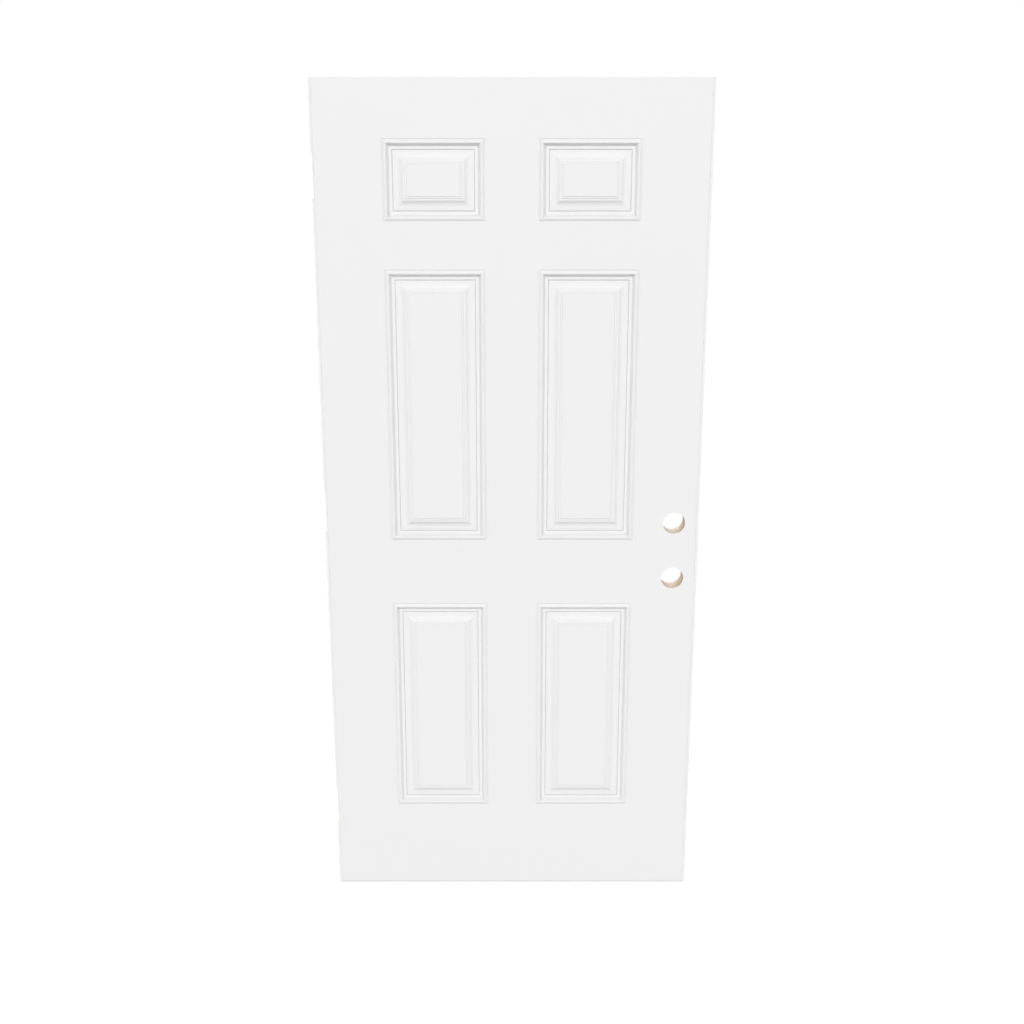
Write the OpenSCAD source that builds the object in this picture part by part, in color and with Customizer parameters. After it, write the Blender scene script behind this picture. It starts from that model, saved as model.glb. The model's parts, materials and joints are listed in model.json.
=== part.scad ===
// Six-panel entrance door leaf: pressed steel skins over wood stiles, wood rails and a foam core.
// Millimetres. X runs from the hinge edge to the lock edge, the front faces -Y, Z runs up from the bottom edge.

/* [Leaf] */
// Width over both wood edges
leaf_w = 908; // [860:1:1070]
// Height from bottom edge to top edge
leaf_h = 2006.6; // [1920:0.1:2440]
// Thickness over the flat of both skins
leaf_t = 44.45; // [42:0.05:57]

/* [Panel layout] */
// Width of a panel over its moulding
panel_w = 234; // [190:1:250]
// Flat between the two columns of panels
mullion_w = 122; // [80:1:150]
// Flat above the top panels
top_flat = 130; // [90:1:180]
// Height of the top panels over their moulding
top_panel_h = 183; // [150:1:240]
// Flat between the top panels and the middle panels
upper_flat = 107.5; // [60:0.5:160]
// Height of the middle panels over their moulding
middle_panel_h = 650; // [450:1:680]
// Flat between the middle panels and the low panels
lock_flat = 162; // [100:1:190]
// Height of the low panels over their moulding
low_panel_h = 550; // [350:1:580]

/* [Panel moulding] */
// Width of the sloped side of the groove that outlines each panel
groove_w = 1.3; // [0.5:0.1:2]
// Depth of the outline groove below the face
groove_d = 1.1; // [0.3:0.1:1.5]
// Height of the bead above the face
bead_proud = 1.6; // [0.8:0.1:3]
// Steepness of the bead's outer side, in degrees
bead_slope = 26; // [12:1:32]
// Width of the flat along the top of the bead
bead_flat = 1.2; // [0.5:0.1:4]
// Radius of the rounds on the bead and the ogee
ogee_r = 3; // [2.5:0.1:5]
// Steepness of the ogee at its middle, in degrees
ogee_slope = 54; // [35:1:60]
// Depth of the sunk flat below the face
sunk_depth = 6.5; // [4:0.1:8]
// Width of the sunk flat
sunk_flat = 5.2; // [4:0.1:10]
// Width of the quirk between the sunk flat and the raised panel
quirk_w = 2.2; // [1.2:0.1:4]
// Depth of the quirk below the sunk flat
quirk_d = 2.1; // [0.5:0.1:2.5]
// Flat between the quirk and the low step
foot_flat = 3.1; // [1:0.1:6]
// Rise of the low step
low_rise = 0.7; // [0.3:0.05:1.2]
// Flat between the low step and the hollow
hollow_foot = 4.1; // [1:0.1:9]
// Width of the hollow that rises towards the raised field
hollow_w = 13.2; // [8:0.1:16]
// Steepness of the hollow at its upper end, in degrees
hollow_slope = 42; // [20:1:45]
// Width of the round at the top of the hollow
nose_w = 2; // [1:0.1:5]
// Width of each ledge between the hollow and the raised field
ledge_w = 3.4; // [1.5:0.1:4]
// Rise of each step between the ledges
step_rise = 1.2; // [0.3:0.05:1.4]
// Run of the low step and of each step between the ledges
step_run = 0.8; // [0.5:0.05:1.5]

/* [Steel skins] */
// Thickness of the steel sheet
skin_t = 0.6; // [0.4:0.05:1]
// Width of the wood strip left bare of steel along each long edge
edge_strip = 5.6; // [5:0.1:9]
// Outside radius of the fold along the skin's long edge
fold_r = 0.8; // [0.8:0.1:1.6]
// Length of the folded return, from the face of the leaf
return_d = 7; // [4:0.1:10]
// Clearance around the return in its groove
return_gap = 0.1; // [0.1:0.05:0.5]
// Thickness of the glue line between each skin and the foam core
bond_gap = 0.05; // [0.02:0.01:0.2]

/* [Wood frame] */
// Width of the hinge stile and the lock stile
stile_w = 32; // [26:0.5:33]
// Height of the top rail
top_rail_h = 38; // [25:1:70]
// Height of the bottom rail
bottom_rail_h = 50; // [30:1:90]
// Width of the lock block
block_w = 88; // [70:1:95]
// Height of the lock block
block_h = 340; // [260:1:460]
// Chamfer along the long arrises of the stiles
arris = 0.8; // [0.3:0.1:2]

/* [Lock preparation] */
// Distance from the lock edge to the centre of the cross bores
backset = 60.3; // [60:0.1:70]
// Diameter of the two cross bores
cross_bore_d = 54; // [38:0.1:57]
// Height of the lower cross bore above the bottom edge
lock_bore_z = 840.5; // [780:0.5:1000]
// Distance from the lower cross bore up to the deadbolt's cross bore
bore_spacing = 139.7; // [100:0.1:160]
// Diameter of the latch bores in the lock edge
latch_bore_d = 25.4; // [22:0.1:26]
// Height of the face plate recess around each latch bore
plate_h = 57.2; // [50:0.1:70]
// Width of the face plate recess
plate_w = 25.4; // [25:0.1:29]
// Depth of the face plate recess
plate_d = 3; // [1.5:0.1:4]
// Radius of the face plate recess at its corners
plate_r = 6.4; // [3:0.1:10]

/* [Hinge gains] */
// Height of each hinge gain
gain_h = 101.6; // [75:0.1:125]
// Reach of each hinge gain from the front face
gain_reach = 38; // [25:0.5:40]
// Depth of each hinge gain into the hinge edge
gain_d = 3.3; // [2:0.1:3.5]
// Radius at the two inner corners of each hinge gain
gain_r = 15.9; // [6:0.1:16]
// Chamfer that eases the front arris inside each gain
gain_ease = 0.5; // [0.3:0.1:1.7]
// Distance from the top edge down to the middle of the top gain
top_gain_drop = 210; // [160:1:300]
// Height of the middle of the bottom gain above the bottom edge
bottom_gain_z = 221; // [180:1:320]

/* [Hidden] */

half_w = leaf_w / 2;
half_t = leaf_t / 2;
fold_x = half_w - edge_strip;        // outside of the folded return
flat_x = fold_x - fold_r;            // where the face starts to turn into the fold
inner_t = half_t - skin_t;           // inside of the flat sheet
core_x = half_w - stile_w;           // inner side of the stiles
bore_x = half_w - backset;
bore_heights = [lock_bore_z, lock_bore_z + bore_spacing];
gain_heights = [bottom_gain_z, leaf_h / 2, leaf_h - top_gain_drop];
block_z = lock_bore_z + (bore_spacing - block_h) / 2;

// panel rows as [lower edge, height], and columns by their left edge
top_z = leaf_h - top_flat - top_panel_h;
middle_z = top_z - upper_flat - middle_panel_h;
low_z = middle_z - lock_flat - low_panel_h;
rows = [[low_z, low_panel_h], [middle_z, middle_panel_h], [top_z, top_panel_h]];
columns = [[-mullion_w / 2 - panel_w, panel_w], [mullion_w / 2, panel_w]];

// the moulding as [distance in from the panel's edge, height above the face]
crest_run = ogee_r * sin(bead_slope);
crest_rise = ogee_r * (1 - cos(bead_slope));
bead_s = groove_w + (groove_d + bead_proud - crest_rise) / tan(bead_slope) + crest_run;
crest_s = bead_s + bead_flat;
round_run = ogee_r * sin(ogee_slope);
round_drop = ogee_r * (1 - cos(ogee_slope));
ogee_run = 2 * round_run + (bead_proud + sunk_depth - 2 * round_drop) / tan(ogee_slope);
foot_s = crest_s + ogee_run;
quirk_s = foot_s + sunk_flat;
quirk_floor = -sunk_depth - quirk_d;
low_step_s = quirk_s + quirk_w + foot_flat;
hollow_s = low_step_s + step_run + hollow_foot;
hollow_y = low_rise - sunk_depth;
hollow_r = hollow_w / sin(hollow_slope);
nose_r = nose_w / sin(hollow_slope);
nose_s = hollow_s + hollow_w + nose_w;
nose_y = hollow_y + (hollow_r + nose_r) * (1 - cos(hollow_slope));
turn = 18;                           // degrees between two points on a round

function arc(centre, r, from, to, first = 0) =
    let (count = ceil(abs(to - from) / turn))
    [for (i = [first : count]) let (a = from + (to - from) * i / count) centre + r * [cos(a), sin(a)]];

groove_line = [[0, 0], [groove_w, -groove_d]];
bead_line = concat(
    [[groove_w, -groove_d]],
    arc([bead_s, bead_proud - ogee_r], ogee_r, 90 + bead_slope, 90));
sunk_line = concat(
    arc([crest_s, bead_proud - ogee_r], ogee_r, 90, 90 - ogee_slope),
    arc([foot_s, -sunk_depth + ogee_r], ogee_r, 270 - ogee_slope, 270),
    [[quirk_s, -sunk_depth], [quirk_s + quirk_w / 2, quirk_floor]]);
field_line = concat(
    [[quirk_s + quirk_w / 2, quirk_floor], [quirk_s + quirk_w, -sunk_depth],
     [low_step_s, -sunk_depth], [low_step_s + step_run, hollow_y]],
    arc([hollow_s, hollow_y + hollow_r], hollow_r, 270, 270 + hollow_slope),
    arc([nose_s, nose_y - nose_r], nose_r, 90 + hollow_slope, 90, 1),
    [for (i = [1, 2], end = [0, 1])
        [nose_s + i * ledge_w + (i - 1 + end) * step_run, nose_y + (i - 1 + end) * step_rise]]);

// A section over one panel of the given size: the line, its mirror image, closed at the given height.
module panel_section(line, size, close) {
    last = len(line) - 1;
    polygon(concat(
        [[line[0].x, close]], line,
        [for (i = [last : -1 : 0]) [size - line[i].x, line[i].y]],
        [[size - line[0].x, close]]));
}

// The line worked over all six panels. A run across and a run up are intersected, so the corners mitre.
module panel_form(line, close) {
    intersection() {
        rotate(a = 180, v = [1, 0, 1])
            linear_extrude(leaf_w, center = true)
                for (row = rows) translate([row[0], 0]) panel_section(line, row[1], close);
        mirror([0, 1, 0])
            linear_extrude(leaf_h)
                for (column = columns) translate([column[0], 0]) panel_section(line, column[1], close);
    }
}

// Everything behind the embossed front face, back to the middle of the leaf.
module face_form(width) {
    translate([0, -half_t, 0]) {
        difference() {
            union() {
                difference() {
                    translate([-width / 2, 0, 0]) cube([width, half_t, leaf_h]);
                    panel_form(groove_line, 1);
                }
                panel_form(bead_line, -groove_d - skin_t);
            }
            panel_form(sunk_line, bead_proud + 1);
        }
        panel_form(field_line, quirk_floor - skin_t);
    }
}

// The fold along one long edge of a skin, on the +X side.
module skin_fold() {
    linear_extrude(leaf_h)
        polygon(concat(
            arc([flat_x, fold_r - half_t], fold_r, 270, 360),
            [[fold_x, return_d - half_t], [fold_x - skin_t, return_d - half_t]],
            arc([flat_x, fold_r - half_t], fold_r - skin_t, 360, 270)));
}

module cross_bores(y0, y1) {
    for (z = bore_heights)
        translate([bore_x, y0, z]) rotate([-90, 0, 0]) cylinder(d = cross_bore_d, h = y1 - y0, $fn = 96);
}

module latch_bores() {
    for (z = bore_heights)
        translate([bore_x, 0, z]) rotate([0, 90, 0]) cylinder(d = latch_bore_d, h = backset + 1, $fn = 72);
}

module skin() {
    difference() {
        union() {
            difference() {
                face_form(2 * flat_x);
                translate([0, skin_t, 0]) face_form(leaf_w);
            }
            skin_fold();
            mirror([1, 0, 0]) skin_fold();
        }
        cross_bores(-leaf_t, 0);
    }
}

module front_skin() color("white") skin();

module back_skin() color("white") mirror([0, 1, 0]) skin();

// A stile on the +X side, with a groove in each face for the return of a skin.
module stile() {
    side = [[core_x, inner_t], [flat_x, inner_t], [flat_x, half_t - return_d - return_gap],
            [fold_x + return_gap, half_t - return_d - return_gap], [fold_x + return_gap, half_t],
            [half_w - arris, half_t], [half_w, half_t - arris]];
    linear_extrude(leaf_h)
        polygon(concat(side, [for (i = [len(side) - 1 : -1 : 0]) [side[i].x, -side[i].y]]));
}

// The room that one hinge leaf takes in the -X edge, centred on its height.
module hinge_gain() {
    back = gain_reach - half_t;
    translate([-half_w - 1, 0, 0]) rotate([0, 90, 0])
        linear_extrude(gain_d + 1) {
            translate([-gain_h / 2, -half_t - 1]) square([gain_h, gain_reach + 1 - gain_r]);
            translate([gain_r - gain_h / 2, -half_t - 1]) square([gain_h - 2 * gain_r, gain_reach + 1]);
            for (side = [-1, 1])
                translate([side * (gain_h / 2 - gain_r), back - gain_r]) circle(gain_r, $fn = 64);
        }
    translate([gain_d - half_w, -half_t, -gain_h / 2])
        linear_extrude(gain_h)
            polygon([[-1, -1], [gain_ease + 1, -1], [gain_ease, 0], [0, gain_ease], [-1, gain_ease]]);
}

module hinge_stile() color("burlywood") {
    difference() {
        mirror([1, 0, 0]) stile();
        for (z = gain_heights) translate([0, 0, z]) hinge_gain();
    }
}

// The recess for the face plate of a latch, with round corners.
module face_plate_recess() {
    translate([half_w - plate_d, 0, 0]) rotate([0, 90, 0])
        linear_extrude(plate_d + 1) {
            square([plate_h - 2 * plate_r, plate_w], center = true);
            square([plate_h, plate_w - 2 * plate_r], center = true);
            for (z = [-1, 1], y = [-1, 1])
                translate([z * (plate_h / 2 - plate_r), y * (plate_w / 2 - plate_r)]) circle(plate_r, $fn = 48);
        }
}

module lock_stile() color("burlywood") {
    difference() {
        stile();
        latch_bores();
        cross_bores(-leaf_t, leaf_t);
        for (z = bore_heights) translate([0, 0, z]) face_plate_recess();
    }
}

module lock_block() color("tan") {
    difference() {
        translate([core_x - block_w, -inner_t, block_z]) cube([block_w, 2 * inner_t, block_h]);
        cross_bores(-leaf_t, leaf_t);
        latch_bores();
    }
}

module rail(z, height) {
    translate([-core_x, -inner_t, z]) cube([2 * core_x, 2 * inner_t, height]);
}

module top_rail() color("wheat") rail(leaf_h - top_rail_h, top_rail_h);

module bottom_rail() color("wheat") rail(0, bottom_rail_h);

module foam_core() color("lemonchiffon") {
    difference() {
        intersection() {
            union() {
                translate([0, skin_t + bond_gap, 0]) face_form(leaf_w);
                mirror([0, 1, 0]) translate([0, skin_t + bond_gap, 0]) face_form(leaf_w);
            }
            translate([-core_x, -leaf_t, bottom_rail_h])
                cube([2 * core_x, 2 * leaf_t, leaf_h - top_rail_h - bottom_rail_h]);
        }
        translate([core_x - block_w, -leaf_t, block_z]) cube([block_w + 1, 2 * leaf_t, block_h]);
    }
}

front_skin();
back_skin();
hinge_stile();
lock_stile();
lock_block();
top_rail();
bottom_rail();
foam_core();
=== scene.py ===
import json
import math

import bmesh
import bpy
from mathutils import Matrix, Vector


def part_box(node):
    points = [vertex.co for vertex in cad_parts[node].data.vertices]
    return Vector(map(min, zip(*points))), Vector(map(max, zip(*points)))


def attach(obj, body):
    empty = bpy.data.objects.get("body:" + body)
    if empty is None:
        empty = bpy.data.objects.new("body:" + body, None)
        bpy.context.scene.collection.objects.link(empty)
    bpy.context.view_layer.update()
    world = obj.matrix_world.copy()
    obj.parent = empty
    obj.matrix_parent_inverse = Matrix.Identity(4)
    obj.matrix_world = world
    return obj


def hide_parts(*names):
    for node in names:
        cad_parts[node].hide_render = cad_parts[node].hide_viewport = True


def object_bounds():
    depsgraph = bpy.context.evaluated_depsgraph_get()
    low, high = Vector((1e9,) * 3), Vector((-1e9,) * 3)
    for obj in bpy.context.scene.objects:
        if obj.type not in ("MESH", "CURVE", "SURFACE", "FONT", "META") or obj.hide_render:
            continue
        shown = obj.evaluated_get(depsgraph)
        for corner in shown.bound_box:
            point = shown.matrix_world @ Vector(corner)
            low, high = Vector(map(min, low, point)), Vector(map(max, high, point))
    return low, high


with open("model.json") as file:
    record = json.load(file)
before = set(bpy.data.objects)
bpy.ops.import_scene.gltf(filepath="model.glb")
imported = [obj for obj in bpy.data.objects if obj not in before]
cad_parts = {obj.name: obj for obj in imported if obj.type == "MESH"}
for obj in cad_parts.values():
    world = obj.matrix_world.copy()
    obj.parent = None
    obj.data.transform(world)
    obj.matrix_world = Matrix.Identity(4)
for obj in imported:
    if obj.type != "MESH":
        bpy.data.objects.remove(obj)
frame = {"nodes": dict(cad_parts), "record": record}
cad_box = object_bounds()
NODES = frame["nodes"]

# Lengths are in metres

HALF_WIDE, HIGH = cad_box[1].x, cad_box[1].z
SKIN_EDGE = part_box("front_skin")[1].x     # outside of the skin's folded long edge
HALF_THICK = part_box("hinge_stile")[1].y   # flat face of the leaf, mouldings left out


# Materials

class Wire:
    """An output of a shader node. Sums on it add Math nodes."""

    def __init__(self, finish, socket):
        self.finish, self.socket = finish, socket

    def maths(self, operation, *terms):
        return self.finish.node("ShaderNodeMath", {"operation": operation}, dict(enumerate(terms)))

    def __add__(self, other):
        return self.maths("ADD", self, other)

    def __radd__(self, other):
        return self.maths("ADD", other, self)

    def __sub__(self, other):
        return self.maths("SUBTRACT", self, other)

    def __rsub__(self, other):
        return self.maths("SUBTRACT", other, self)

    def __mul__(self, other):
        return self.maths("MULTIPLY", self, other)

    def __rmul__(self, other):
        return self.maths("MULTIPLY", other, self)

    def __truediv__(self, other):
        return self.maths("DIVIDE", self, other)

    def __pow__(self, other):
        return self.maths("POWER", self, other)

    def __abs__(self):
        return self.maths("ABSOLUTE", self)

    def clamped(self, low=0.0, high=1.0):
        return self.maths("MINIMUM", self.maths("MAXIMUM", self, low), high)


class Finish:
    """The shader nodes of a material, or of the room's light."""

    MIX_AMOUNT, MIX_FIRST, MIX_SECOND, MIX_COLOUR = 0, 6, 7, 2   # the colour sockets of a Mix node

    def __init__(self, owner):
        owner.use_nodes = True
        self.owner, self.tree = owner, owner.node_tree
        self.tree.nodes.clear()

    def node(self, kind, settings=None, sockets=None, output=0):
        """Adds a node, sets it up, fills its sockets and hands back one of its outputs."""
        made = self.tree.nodes.new(kind)
        for name, value in (settings or {}).items():
            setattr(made, name, value)
        for name, value in (sockets or {}).items():
            if isinstance(value, Wire):
                self.tree.links.new(value.socket, made.inputs[name])
            else:
                made.inputs[name].default_value = value
        return Wire(self, made.outputs[output]) if len(made.outputs) else None

    def place(self):
        return self.node("ShaderNodeTexCoord", output="Object")

    def along_grain(self, axis, squeeze):
        """The place with one axis squeezed, so that a pattern on it runs long that way."""
        scale = [squeeze if letter == axis else 1.0 for letter in "xyz"]
        return self.node("ShaderNodeVectorMath", {"operation": "MULTIPLY"}, {0: self.place(), 1: scale})

    def share(self, vector, axis):
        """The part of a vector along one axis."""
        return self.node("ShaderNodeSeparateXYZ", {}, {0: vector}, axis.upper())

    def facing(self, axis):
        """How far the surface faces along an axis, from -1 to 1."""
        return self.share(self.node("ShaderNodeNewGeometry", output="Normal"), axis)

    def noise(self, place, scale, detail=3.0, roughness=0.5):
        return self.node("ShaderNodeTexNoise", {"noise_dimensions": "3D"},
                         {"Vector": place, "Scale": scale, "Detail": detail, "Roughness": roughness}, "Fac")

    def tint(self, amount, first, second):
        return self.node("ShaderNodeMix", {"data_type": "RGBA", "clamp_factor": True},
                         {self.MIX_AMOUNT: amount, self.MIX_FIRST: first, self.MIX_SECOND: second},
                         self.MIX_COLOUR)

    def bump(self, height, distance, strength):
        return self.node("ShaderNodeBump", {},
                         {"Height": height, "Distance": distance, "Strength": strength}, "Normal")

    def painted(self, **sockets):
        surface = self.node("ShaderNodeBsdfPrincipled", {},
                            {name.replace("_", " "): value for name, value in sockets.items()})
        self.node("ShaderNodeOutputMaterial", {}, {"Surface": surface})
        return self.owner


def grey(level):
    return (level, level, level, 1.0)


def rgb(red, green, blue):
    return (red, green, blue, 1.0)


def new_finish(name):
    return Finish(bpy.data.materials.new(name))


def white_steel():
    """Satin white paint with fine orange peel, with painted shade in creases, on upward-facing ledges and
    along the bottom edge.
    """
    # The last of these colours is the grey of the painted shade.
    dull, bright, painted_shade_grey = rgb(0.858, 0.860, 0.860), rgb(0.886, 0.886, 0.883), rgb(0.52, 0.52, 0.515)
    crease_reach, bottom_shade_height, bottom_shade_fade = 0.010, 0.0014, 0.0008
    f = new_finish("satin_white_steel")
    place = f.place()
    cloud = f.noise(place, scale=3.0, detail=2.0)
    speck = f.noise(place, scale=420.0, detail=2.0)
    open_sky = f.node("ShaderNodeAmbientOcclusion", {"samples": 8, "only_local": True},
                      {"Distance": crease_reach}, "AO")
    # Painted shade: the paint greys where the surface sees little open sky nearby, in creases and recesses.
    crease_shade = ((1.0 - open_sky) * 0.95).clamped(0.0, 0.36)
    # Painted shade: surfaces that face upward are greyed, the more the more they face up.
    ledge_shade = (f.facing("z") * 0.36).clamped(0.0, 0.24)
    # Painted shade: the paint greys in a thin band along the bottom edge.
    bottom_shade = (1.0 - (f.share(place, "z") - bottom_shade_height) / bottom_shade_fade).clamped() * 0.8
    paint = f.tint(cloud * 0.7 + speck * 0.3, dull, bright)
    # All the painted shade, in creases, on upward ledges and along the bottom edge, turns the paint toward
    # grey.
    colour = f.tint(crease_shade + ledge_shade + bottom_shade, paint, painted_shade_grey)
    peel = f.noise(place, scale=650.0, detail=2.0, roughness=0.45)
    return f.painted(Base_Color=colour, Roughness=0.46 + 0.1 * cloud, Specular_IOR_Level=0.35,
                     Normal=f.bump(peel, distance=0.00004, strength=0.5))


def primed_wood():
    """White primer rolled over the wood's edge, with the grain just showing through."""
    thin, thick = rgb(0.865, 0.862, 0.853), rgb(0.924, 0.923, 0.918)
    f = new_finish("primed_wood_edge")
    fibre = f.noise(f.along_grain("z", squeeze=0.03), scale=900.0, detail=4.0, roughness=0.6)
    patch = f.noise(f.place(), scale=6.0)
    colour = f.tint(patch * 0.6 + fibre * 0.4, thin, thick)
    return f.painted(Base_Color=colour, Roughness=0.58 + 0.12 * fibre, Specular_IOR_Level=0.22,
                     Normal=f.bump(fibre, distance=0.00012, strength=0.6))


def bare_wood(name, along, pale, deep, late):
    """Softwood with its grain along one axis, darker in the late wood and the end grain."""
    f = new_finish(name)
    lay = f.along_grain(along, squeeze=0.04)
    sway = f.noise(lay, scale=14.0, detail=2.0)
    rings = f.node("ShaderNodeTexWave",
                   {"wave_type": "BANDS", "bands_direction": "DIAGONAL", "wave_profile": "SAW"},
                   {"Vector": lay, "Scale": 110.0, "Distortion": 12.0, "Detail": 3.0, "Detail Scale": 0.25,
                    "Detail Roughness": 0.5}, "Fac")
    fibre = f.noise(lay, scale=1100.0, detail=4.0, roughness=0.65)
    end_grain = abs(f.facing(along)) * 0.6
    banded = f.tint(rings ** 2.2 * 0.7, f.tint(sway, deep, pale), late)
    colour = f.tint(end_grain, f.tint(fibre * 0.35, banded, pale), late)
    return f.painted(Base_Color=colour, Roughness=0.66 + 0.14 * fibre, Specular_IOR_Level=0.25,
                     Normal=f.bump(fibre + rings * 0.1, distance=0.00012, strength=0.5))


def foam():
    """Cream insulating foam with fine cells."""
    shaded, cream = rgb(0.84, 0.74, 0.46), rgb(0.93, 0.86, 0.62)
    f = new_finish("cream_foam")
    place = f.place()
    cells = f.node("ShaderNodeTexVoronoi", {"feature": "F1"}, {"Vector": place, "Scale": 520.0}, "Distance")
    cloud = f.noise(place, scale=18.0)
    colour = f.tint(cloud * 0.6 + cells * 0.4, shaded, cream)
    return f.painted(Base_Color=colour, Roughness=0.9, Specular_IOR_Level=0.1,
                     Normal=f.bump(cells, distance=0.0003, strength=0.7))


# Pale, deep and late wood of each pine
SEASONED_PINE = rgb(0.85, 0.79, 0.715), rgb(0.74, 0.655, 0.545), rgb(0.54, 0.40, 0.26)
FRESH_PINE = rgb(0.94, 0.87, 0.77), rgb(0.90, 0.80, 0.67), rgb(0.76, 0.62, 0.47)

PAINT = white_steel()
PRIMER = primed_wood()
UPRIGHT = bare_wood("bare_wood_upright", "z", *SEASONED_PINE)
ACROSS = bare_wood("bare_wood_across", "x", *SEASONED_PINE)
FRESH = bare_wood("fresh_cut_wood", "z", *FRESH_PINE)
FOAM = foam()


# Steel skins

TOUCHING = 1e-6                   # corners this near each other are one
PRESS_RADIUS = 0.0002             # softening of the pressed creases
RIM_RADIUS = 0.0004               # softening of the sheet's cut edges
CREASE = math.radians(22)         # a pressed fold sharper than this is softened
BREAK = math.radians(40)          # shading breaks at a fold sharper than this
MITRE_BREAK = math.radians(1)     # and on a mitre at one sharper than this
STRAIGHT = 0.9999                 # an edge with more of its direction along the width or height is straight
SQUARE_ON = 0.9                   # a face that turns outward by more than this is flat on the leaf
NEARLY = 0.02                     # a smaller share or difference counts as none


def direction(edge):
    return (edge.verts[1].co - edge.verts[0].co).normalized()


def folds(work):
    """The edges at which two faces meet."""
    return [edge for edge in work.edges if len(edge.link_faces) == 2]


def merge(work):
    bmesh.ops.remove_doubles(work, verts=work.verts, dist=TOUCHING)


def soften(work, edges, radius):
    bmesh.ops.bevel(work, geom=edges, offset=radius, segments=2, profile=0.5, affect="EDGES",
                    clamp_overlap=True)
    work.normal_update()


def pressed_skin(node, name, outward):
    """The CAD skin with mitres kept crisp, creases and cut edges softened, and rounds shaded smooth."""
    work = bmesh.new()
    work.from_mesh(NODES[node].data)
    merge(work)
    work.normal_update()

    def facings(edge):
        return sorted(face.normal.y * outward for face in edge.link_faces)

    def pressed(edge):
        way = direction(edge)
        straight = max(abs(way.x), abs(way.z)) > STRAIGHT
        return straight and facings(edge)[0] > NEARLY and edge.calc_face_angle() > CREASE

    def cut(edge):
        side, front = facings(edge)
        return abs(side) < NEARLY and front > SQUARE_ON

    soften(work, [edge for edge in folds(work) if pressed(edge)], PRESS_RADIUS)
    soften(work, [edge for edge in folds(work) if cut(edge)], RIM_RADIUS)
    merge(work)
    for edge in folds(work):
        way = direction(edge)
        on_mitre = abs(abs(way.x) - abs(way.z)) < NEARLY
        edge.smooth = edge.calc_face_angle() <= (MITRE_BREAK if on_mitre else BREAK)
    for face in work.faces:
        face.smooth = True
    mesh = bpy.data.meshes.new(name)
    work.to_mesh(mesh)
    work.free()
    piece = bpy.data.objects.new(name, mesh)
    bpy.context.scene.collection.objects.link(piece)
    even = piece.modifiers.new("even_shading", "WEIGHTED_NORMAL")
    even.keep_sharp = True
    mesh.materials.append(PAINT)
    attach(piece, "root")
    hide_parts(node)


pressed_skin("front_skin", "front_steel_skin", -1)
pressed_skin("back_skin", "back_steel_skin", 1)


# Wood and foam

def mounts_ending(*words):
    return [mount for mount in frame["record"]["mounts"] if mount["name"].endswith(words)]


SURFACE_SLACK = 0.0002            # a face this near a surface lies on it
EDGE_SLACK = 0.001                # and this near the leaf's long edges or its ends
JOINT_REACH = 0.0012              # half width of the primed joint between skin and stile
ARRIS = 0.0006                    # reach of the eased corner along the front of a hinge gain
BORE_WALL = 0.3                   # a bore's wall turns to the leaf's long edge by less than this
LEAF_END = 0.5                    # a face that turns up or down by more than this is cut across
LATCHES = mounts_ending("latch_bore")
LATCH_HEIGHTS = [mount["pos_m"][2] for mount in LATCHES]
LATCH_RADIUS = max(mount["dims"]["r_mm"] for mount in LATCHES) / 1000 + SURFACE_SLACK
ROUTED_FLOOR = min(abs(mount["pos_m"][0]) for mount in mounts_ending("gain", "seat")) - ARRIS


def lay_on(node, *finishes):
    """Gives a CAD node its finishes and hands back its mesh."""
    mesh = NODES[node].data
    mesh.materials.clear()
    for finish in finishes:
        mesh.materials.append(finish)
    return mesh


def fresh_cut(face):
    """Whether a face lies on the wall of a latch bore, or in a hinge gain or a face plate seat."""
    middle = face.center
    from_bore = min(math.hypot(middle.y, middle.z - height) for height in LATCH_HEIGHTS)
    drilled = abs(face.normal.x) < BORE_WALL and from_bore < LATCH_RADIUS
    routed = abs(middle.x) > ROUTED_FLOOR and EDGE_SLACK < middle.z < HIGH - EDGE_SLACK
    return drilled or routed


def under_primer(face):
    """Whether a face lies on the leaf's long edge, on the strip beside the skin or in the joint there."""
    middle = face.center
    side = abs(middle.x)
    on_edge = side > HALF_WIDE - EDGE_SLACK
    on_strip = side > SKIN_EDGE and abs(middle.y) > HALF_THICK - SURFACE_SLACK
    in_joint = abs(side - SKIN_EDGE) < JOINT_REACH
    return abs(face.normal.z) < LEAF_END and (on_edge or on_strip or in_joint)


def finish_wood(node, wood, primed):
    """Bare wood, paler where it is drilled or routed, under white primer along the leaf's outer edge."""
    finishes = wood, FRESH, PRIMER
    for face in lay_on(node, *finishes).polygons:
        if primed and under_primer(face):
            face.material_index = finishes.index(PRIMER)
        elif fresh_cut(face):
            face.material_index = finishes.index(FRESH)


finish_wood("hinge_stile", UPRIGHT, primed=True)
finish_wood("lock_stile", UPRIGHT, primed=True)
finish_wood("lock_block", ACROSS, primed=False)
lay_on("top_rail", ACROSS)
lay_on("bottom_rail", ACROSS)
lay_on("foam_core", FOAM)


# Floor, light and camera

FLOOR_REACH = 14.0                # from the leaf to each side of the floor
SHADOW_REACH = 0.9                # the floor is even this far out
SHADOW_FADE = 1.6                 # and fades to white over this distance
ROOM_LIGHT = 0.25
LAMP_SPREAD = 40.0                # degrees
LAMP_AWAY = 6.0
SENSOR = 36.0                     # millimetres
VIEW_ANGLE = 45.0                 # degrees
CAMERA_AWAY = 2.8976              # in front of the leaf's flat face
CAMERA_HEIGHT = 1.7822
CAMERA_TILT = 14.957              # degrees down from level


def seen_directly(finish):
    """1 for what the camera or a reflection sees, 0 for what only lights the leaf."""
    camera, mirrored, through = (finish.node("ShaderNodeLightPath", output=f"Is {ray} Ray")
                                 for ray in ("Camera", "Glossy", "Transmission"))
    return (camera + mirrored + through).clamped()


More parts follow.
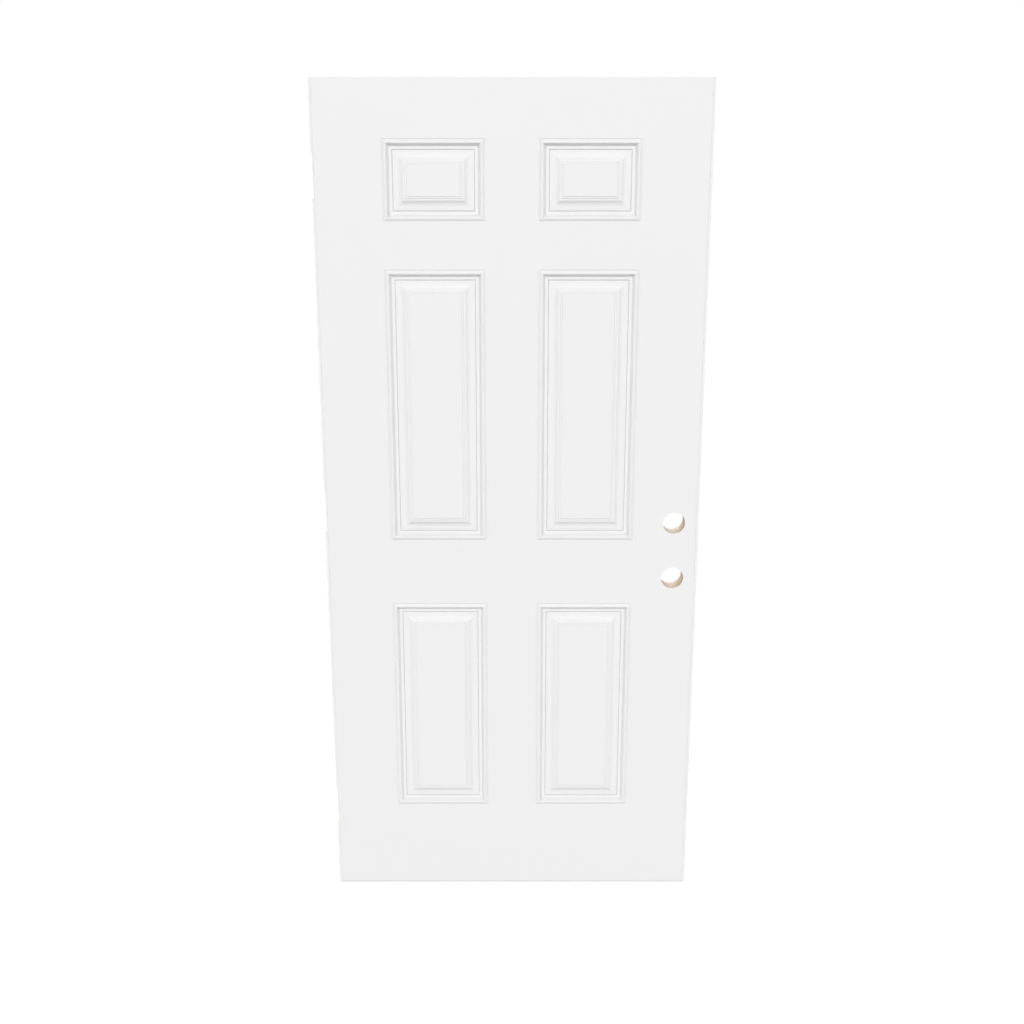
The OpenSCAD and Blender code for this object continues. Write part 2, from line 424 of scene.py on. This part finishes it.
def lay_floor():
    """Pale floor that takes the leaf's shadow and fades to plain white away from it."""
    f = new_finish("pale_floor")
    reach = f.node("ShaderNodeVectorMath", {"operation": "LENGTH"}, {0: f.place()}, "Value")
    away = ((reach - SHADOW_REACH) / SHADOW_FADE).clamped()
    lit = f.node("ShaderNodeBsdfDiffuse", {}, {"Color": grey(0.9)})
    glow = f.node("ShaderNodeEmission", {}, {"Color": grey(1.0), "Strength": 0.19})
    near = f.node("ShaderNodeAddShader", {}, {0: lit, 1: glow})
    far = f.node("ShaderNodeEmission", {}, {"Color": grey(1.0), "Strength": 1.0})
    seen = f.node("ShaderNodeMixShader", {}, {0: away, 1: near, 2: far})
    plain = f.node("ShaderNodeBsdfDiffuse", {}, {"Color": grey(0.39)})
    whole = f.node("ShaderNodeMixShader", {}, {0: seen_directly(f), 1: plain, 2: seen})
    f.node("ShaderNodeOutputMaterial", {}, {"Surface": whole})
    mesh = bpy.data.meshes.new("floor")
    corners = [(x * FLOOR_REACH, y * FLOOR_REACH, 0.0) for x, y in ((-1, -1), (1, -1), (1, 1), (-1, 1))]
    mesh.from_pydata(corners, [], [(0, 1, 2, 3)])
    mesh.materials.append(f.owner)
    floor = bpy.data.objects.new("floor", mesh)
    bpy.context.scene.collection.objects.link(floor)


def light_room(level):
    """Even light from all round, plain white where it is seen."""
    world = bpy.data.worlds.new("studio")
    bpy.context.scene.world = world
    f = Finish(world)
    soft = f.node("ShaderNodeBackground", {}, {"Color": grey(1.0), "Strength": level})
    white = f.node("ShaderNodeBackground", {}, {"Color": grey(1.0), "Strength": 1.0})
    whole = f.node("ShaderNodeMixShader", {}, {0: seen_directly(f), 1: soft, 2: white})
    f.node("ShaderNodeOutputWorld", {}, {"Surface": whole})


def soft_lamp(name, azimuth, height, strength):
    """A wide soft light, so even that the leaf has no bright end. Azimuth 0 is the front."""
    data = bpy.data.lights.new(name, "SUN")
    data.energy, data.angle = strength, math.radians(LAMP_SPREAD)
    lamp = bpy.data.objects.new(name, data)
    turn, lift = math.radians(azimuth), math.radians(height)
    towards = Vector((math.sin(turn) * math.cos(lift), -math.cos(turn) * math.cos(lift), math.sin(lift)))
    lamp.location = towards * LAMP_AWAY
    lamp.rotation_euler = (-towards).to_track_quat("-Z", "Y").to_euler()
    bpy.context.scene.collection.objects.link(lamp)


def set_camera():
    """Square on to the front face, from above the middle of the leaf."""
    data = bpy.data.cameras.new("camera")
    data.sensor_width, data.sensor_fit = SENSOR, "HORIZONTAL"
    data.lens = SENSOR / 2 / math.tan(math.radians(VIEW_ANGLE / 2))
    camera = bpy.data.objects.new("camera", data)
    camera.location = (0.0, -CAMERA_AWAY - HALF_THICK, CAMERA_HEIGHT)
    camera.rotation_euler = (math.radians(90 - CAMERA_TILT), 0.0, 0.0)
    bpy.context.scene.collection.objects.link(camera)
    bpy.context.scene.camera = camera


lay_floor()
light_room(ROOM_LIGHT)
soft_lamp("key", azimuth=-1.0, height=28.0, strength=2.41)
soft_lamp("left_fill", azimuth=-112.0, height=12.0, strength=1.6)
soft_lamp("right_fill", azimuth=112.0, height=12.0, strength=1.6)
soft_lamp("back_fill", azimuth=180.0, height=28.0, strength=1.1)
set_camera()
bpy.context.scene.view_settings.view_transform = "Standard"
